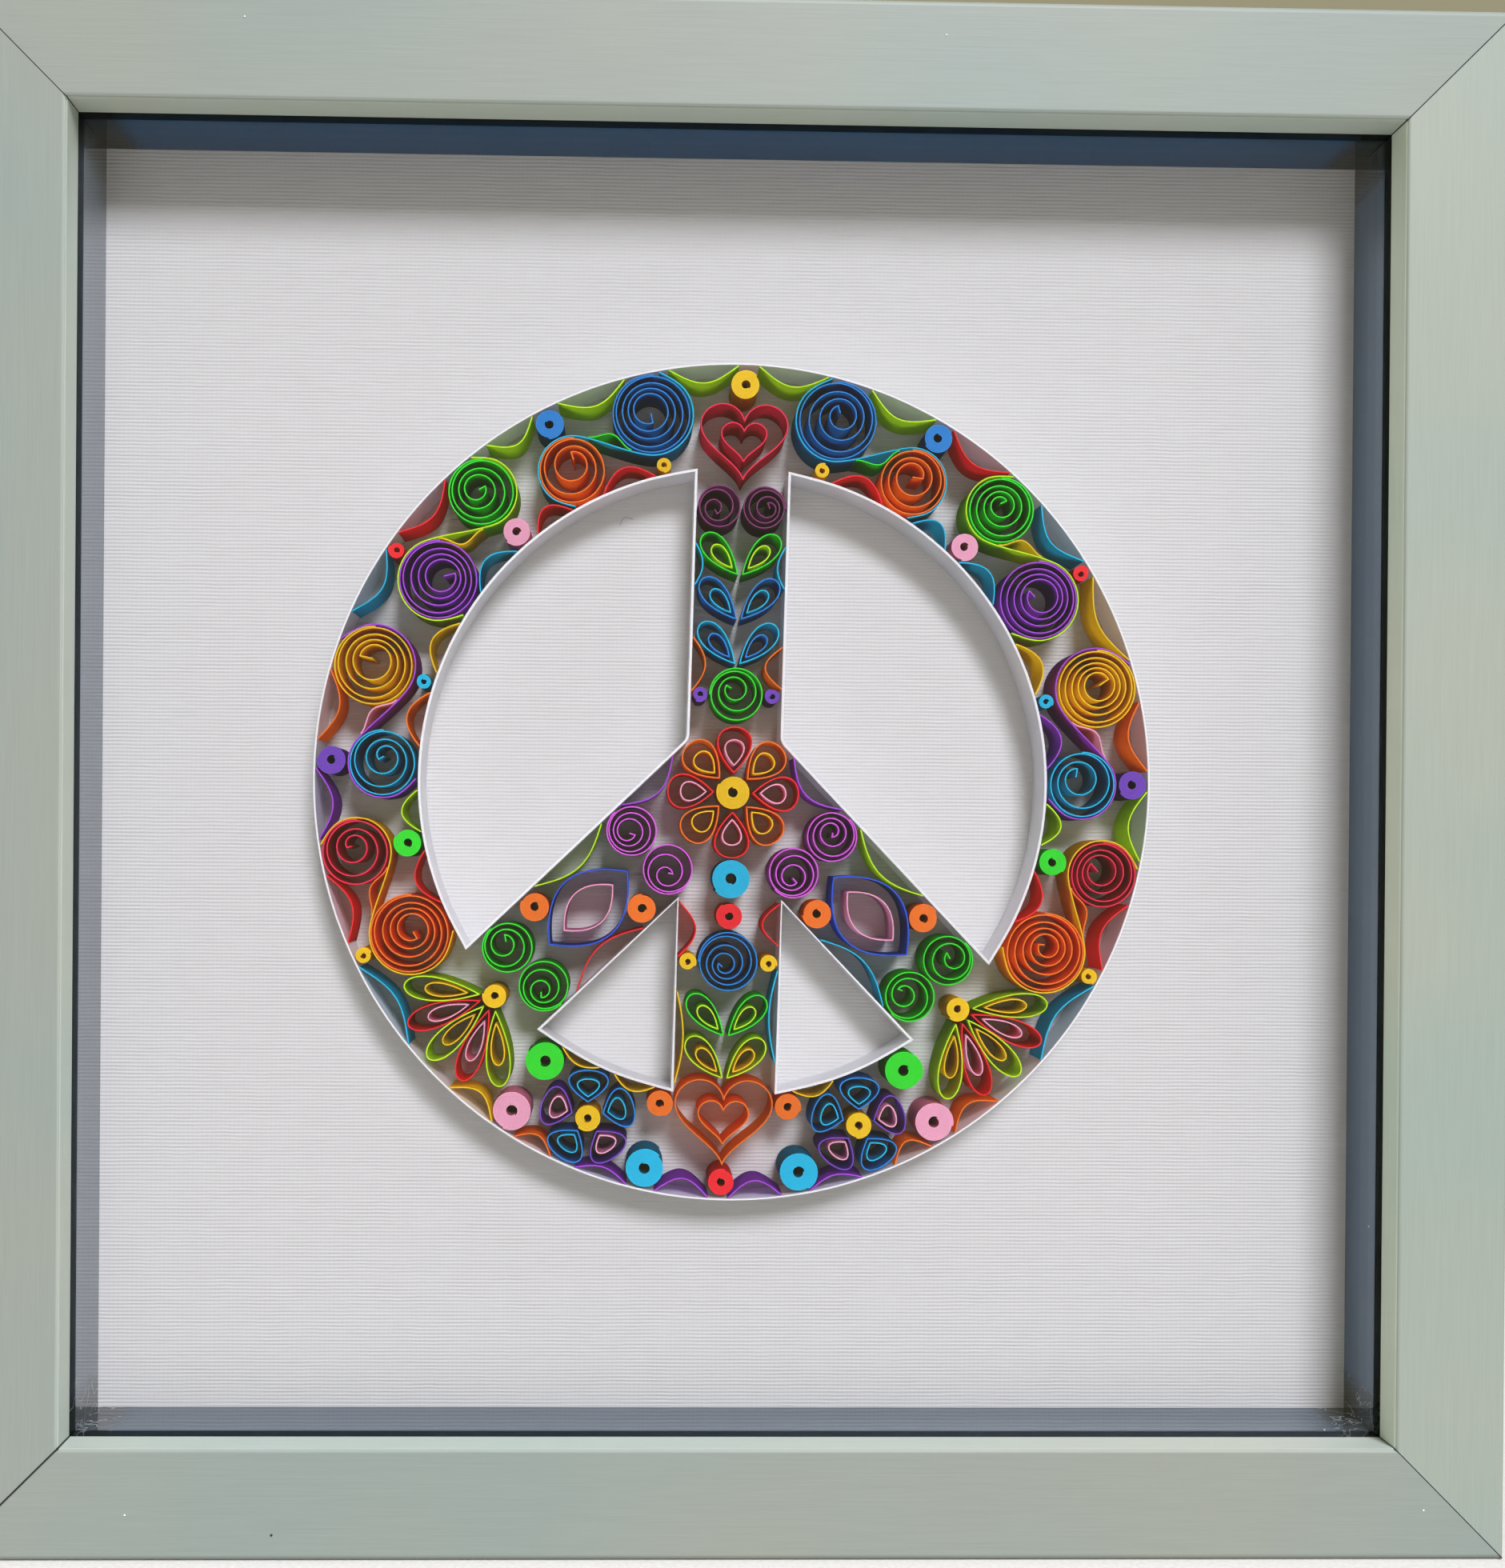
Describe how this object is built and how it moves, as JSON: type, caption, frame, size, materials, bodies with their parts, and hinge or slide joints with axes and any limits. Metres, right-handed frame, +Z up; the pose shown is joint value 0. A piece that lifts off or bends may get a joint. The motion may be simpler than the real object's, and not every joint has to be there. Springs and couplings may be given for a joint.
{
  "type": "framed quilled paper art",
  "caption": "Square shadow-box frame with a round peace symbol made of quilled coloured paper strips on a white linen card behind glass.",
  "frame": {"origin": "middle of the underside of the lower rail, centred across the depth of the whole object", "axes": "+Z up, the glazed front faces -Y, +X to the right as seen from the front"},
  "size_m": [0.29, 0.0344, 0.29],
  "materials": {
    "clear_glass": "polished",
    "dark_spacer": "gloss",
    "frame_foil": "satin",
    "hardboard": "matte",
    "linen_card": "matte",
    "paper_blue": "matte",
    "paper_crimson": "matte",
    "paper_green": "matte",
    "paper_lime": "matte",
    "paper_magenta": "matte",
    "paper_navy": "matte",
    "paper_orange": "matte",
    "paper_pink": "matte",
    "paper_plum": "matte",
    "paper_purple": "matte",
    "paper_red": "matte",
    "paper_teal": "matte",
    "paper_violet": "matte",
    "paper_yellow": "matte",
    "steel": "satin",
    "white_paper": "matte"
  },
  "bodies": {
    "root": {"backing_board": "hardboard", "bottom_rail": "frame_foil", "corner_nails": "steel", "glass_pane": "clear_glass", "hanger_nails": "steel", "hearts_crimson": "paper_crimson", "hearts_orange": "paper_orange", "left_rail": "frame_foil", "linen_card": "linen_card", "loose_coils_blue": "paper_blue", "loose_coils_crimson": "paper_crimson", "loose_coils_green": "paper_green", "loose_coils_magenta": "paper_magenta", "loose_coils_orange": "paper_orange", "loose_coils_plum": "paper_plum", "loose_coils_purple": "paper_purple", "loose_coils_teal": "paper_teal", "loose_coils_yellow": "paper_yellow", "lower_window_left": "white_paper", "lower_window_right": "white_paper", "marquises_navy": "paper_navy", "marquises_pink": "paper_pink", "petals_blue": "paper_blue", "petals_green": "paper_green", "petals_lime": "paper_lime", "petals_orange": "paper_orange", "petals_red": "paper_red", "petals_teal": "paper_teal", "petals_violet": "paper_violet", "retaining_tabs": "steel", "right_rail": "frame_foil", "ring_strip": "white_paper", "sawtooth_hanger": "steel", "scrolls_lime": "paper_lime", "scrolls_purple": "paper_purple", "scrolls_teal": "paper_teal", "scrolls_yellow": "paper_yellow", "spacer_bottom": "dark_spacer", "spacer_left": "dark_spacer", "spacer_right": "dark_spacer", "spacer_top": "dark_spacer", "tight_coils_blue": "paper_blue", "tight_coils_green": "paper_green", "tight_coils_orange": "paper_orange", "tight_coils_pink": "paper_pink", "tight_coils_red": "paper_red", "tight_coils_teal": "paper_teal", "tight_coils_violet": "paper_violet", "tight_coils_yellow": "paper_yellow", "top_rail": "frame_foil", "upper_window_left": "white_paper", "upper_window_right": "white_paper"}
  },
  "joints": []
}
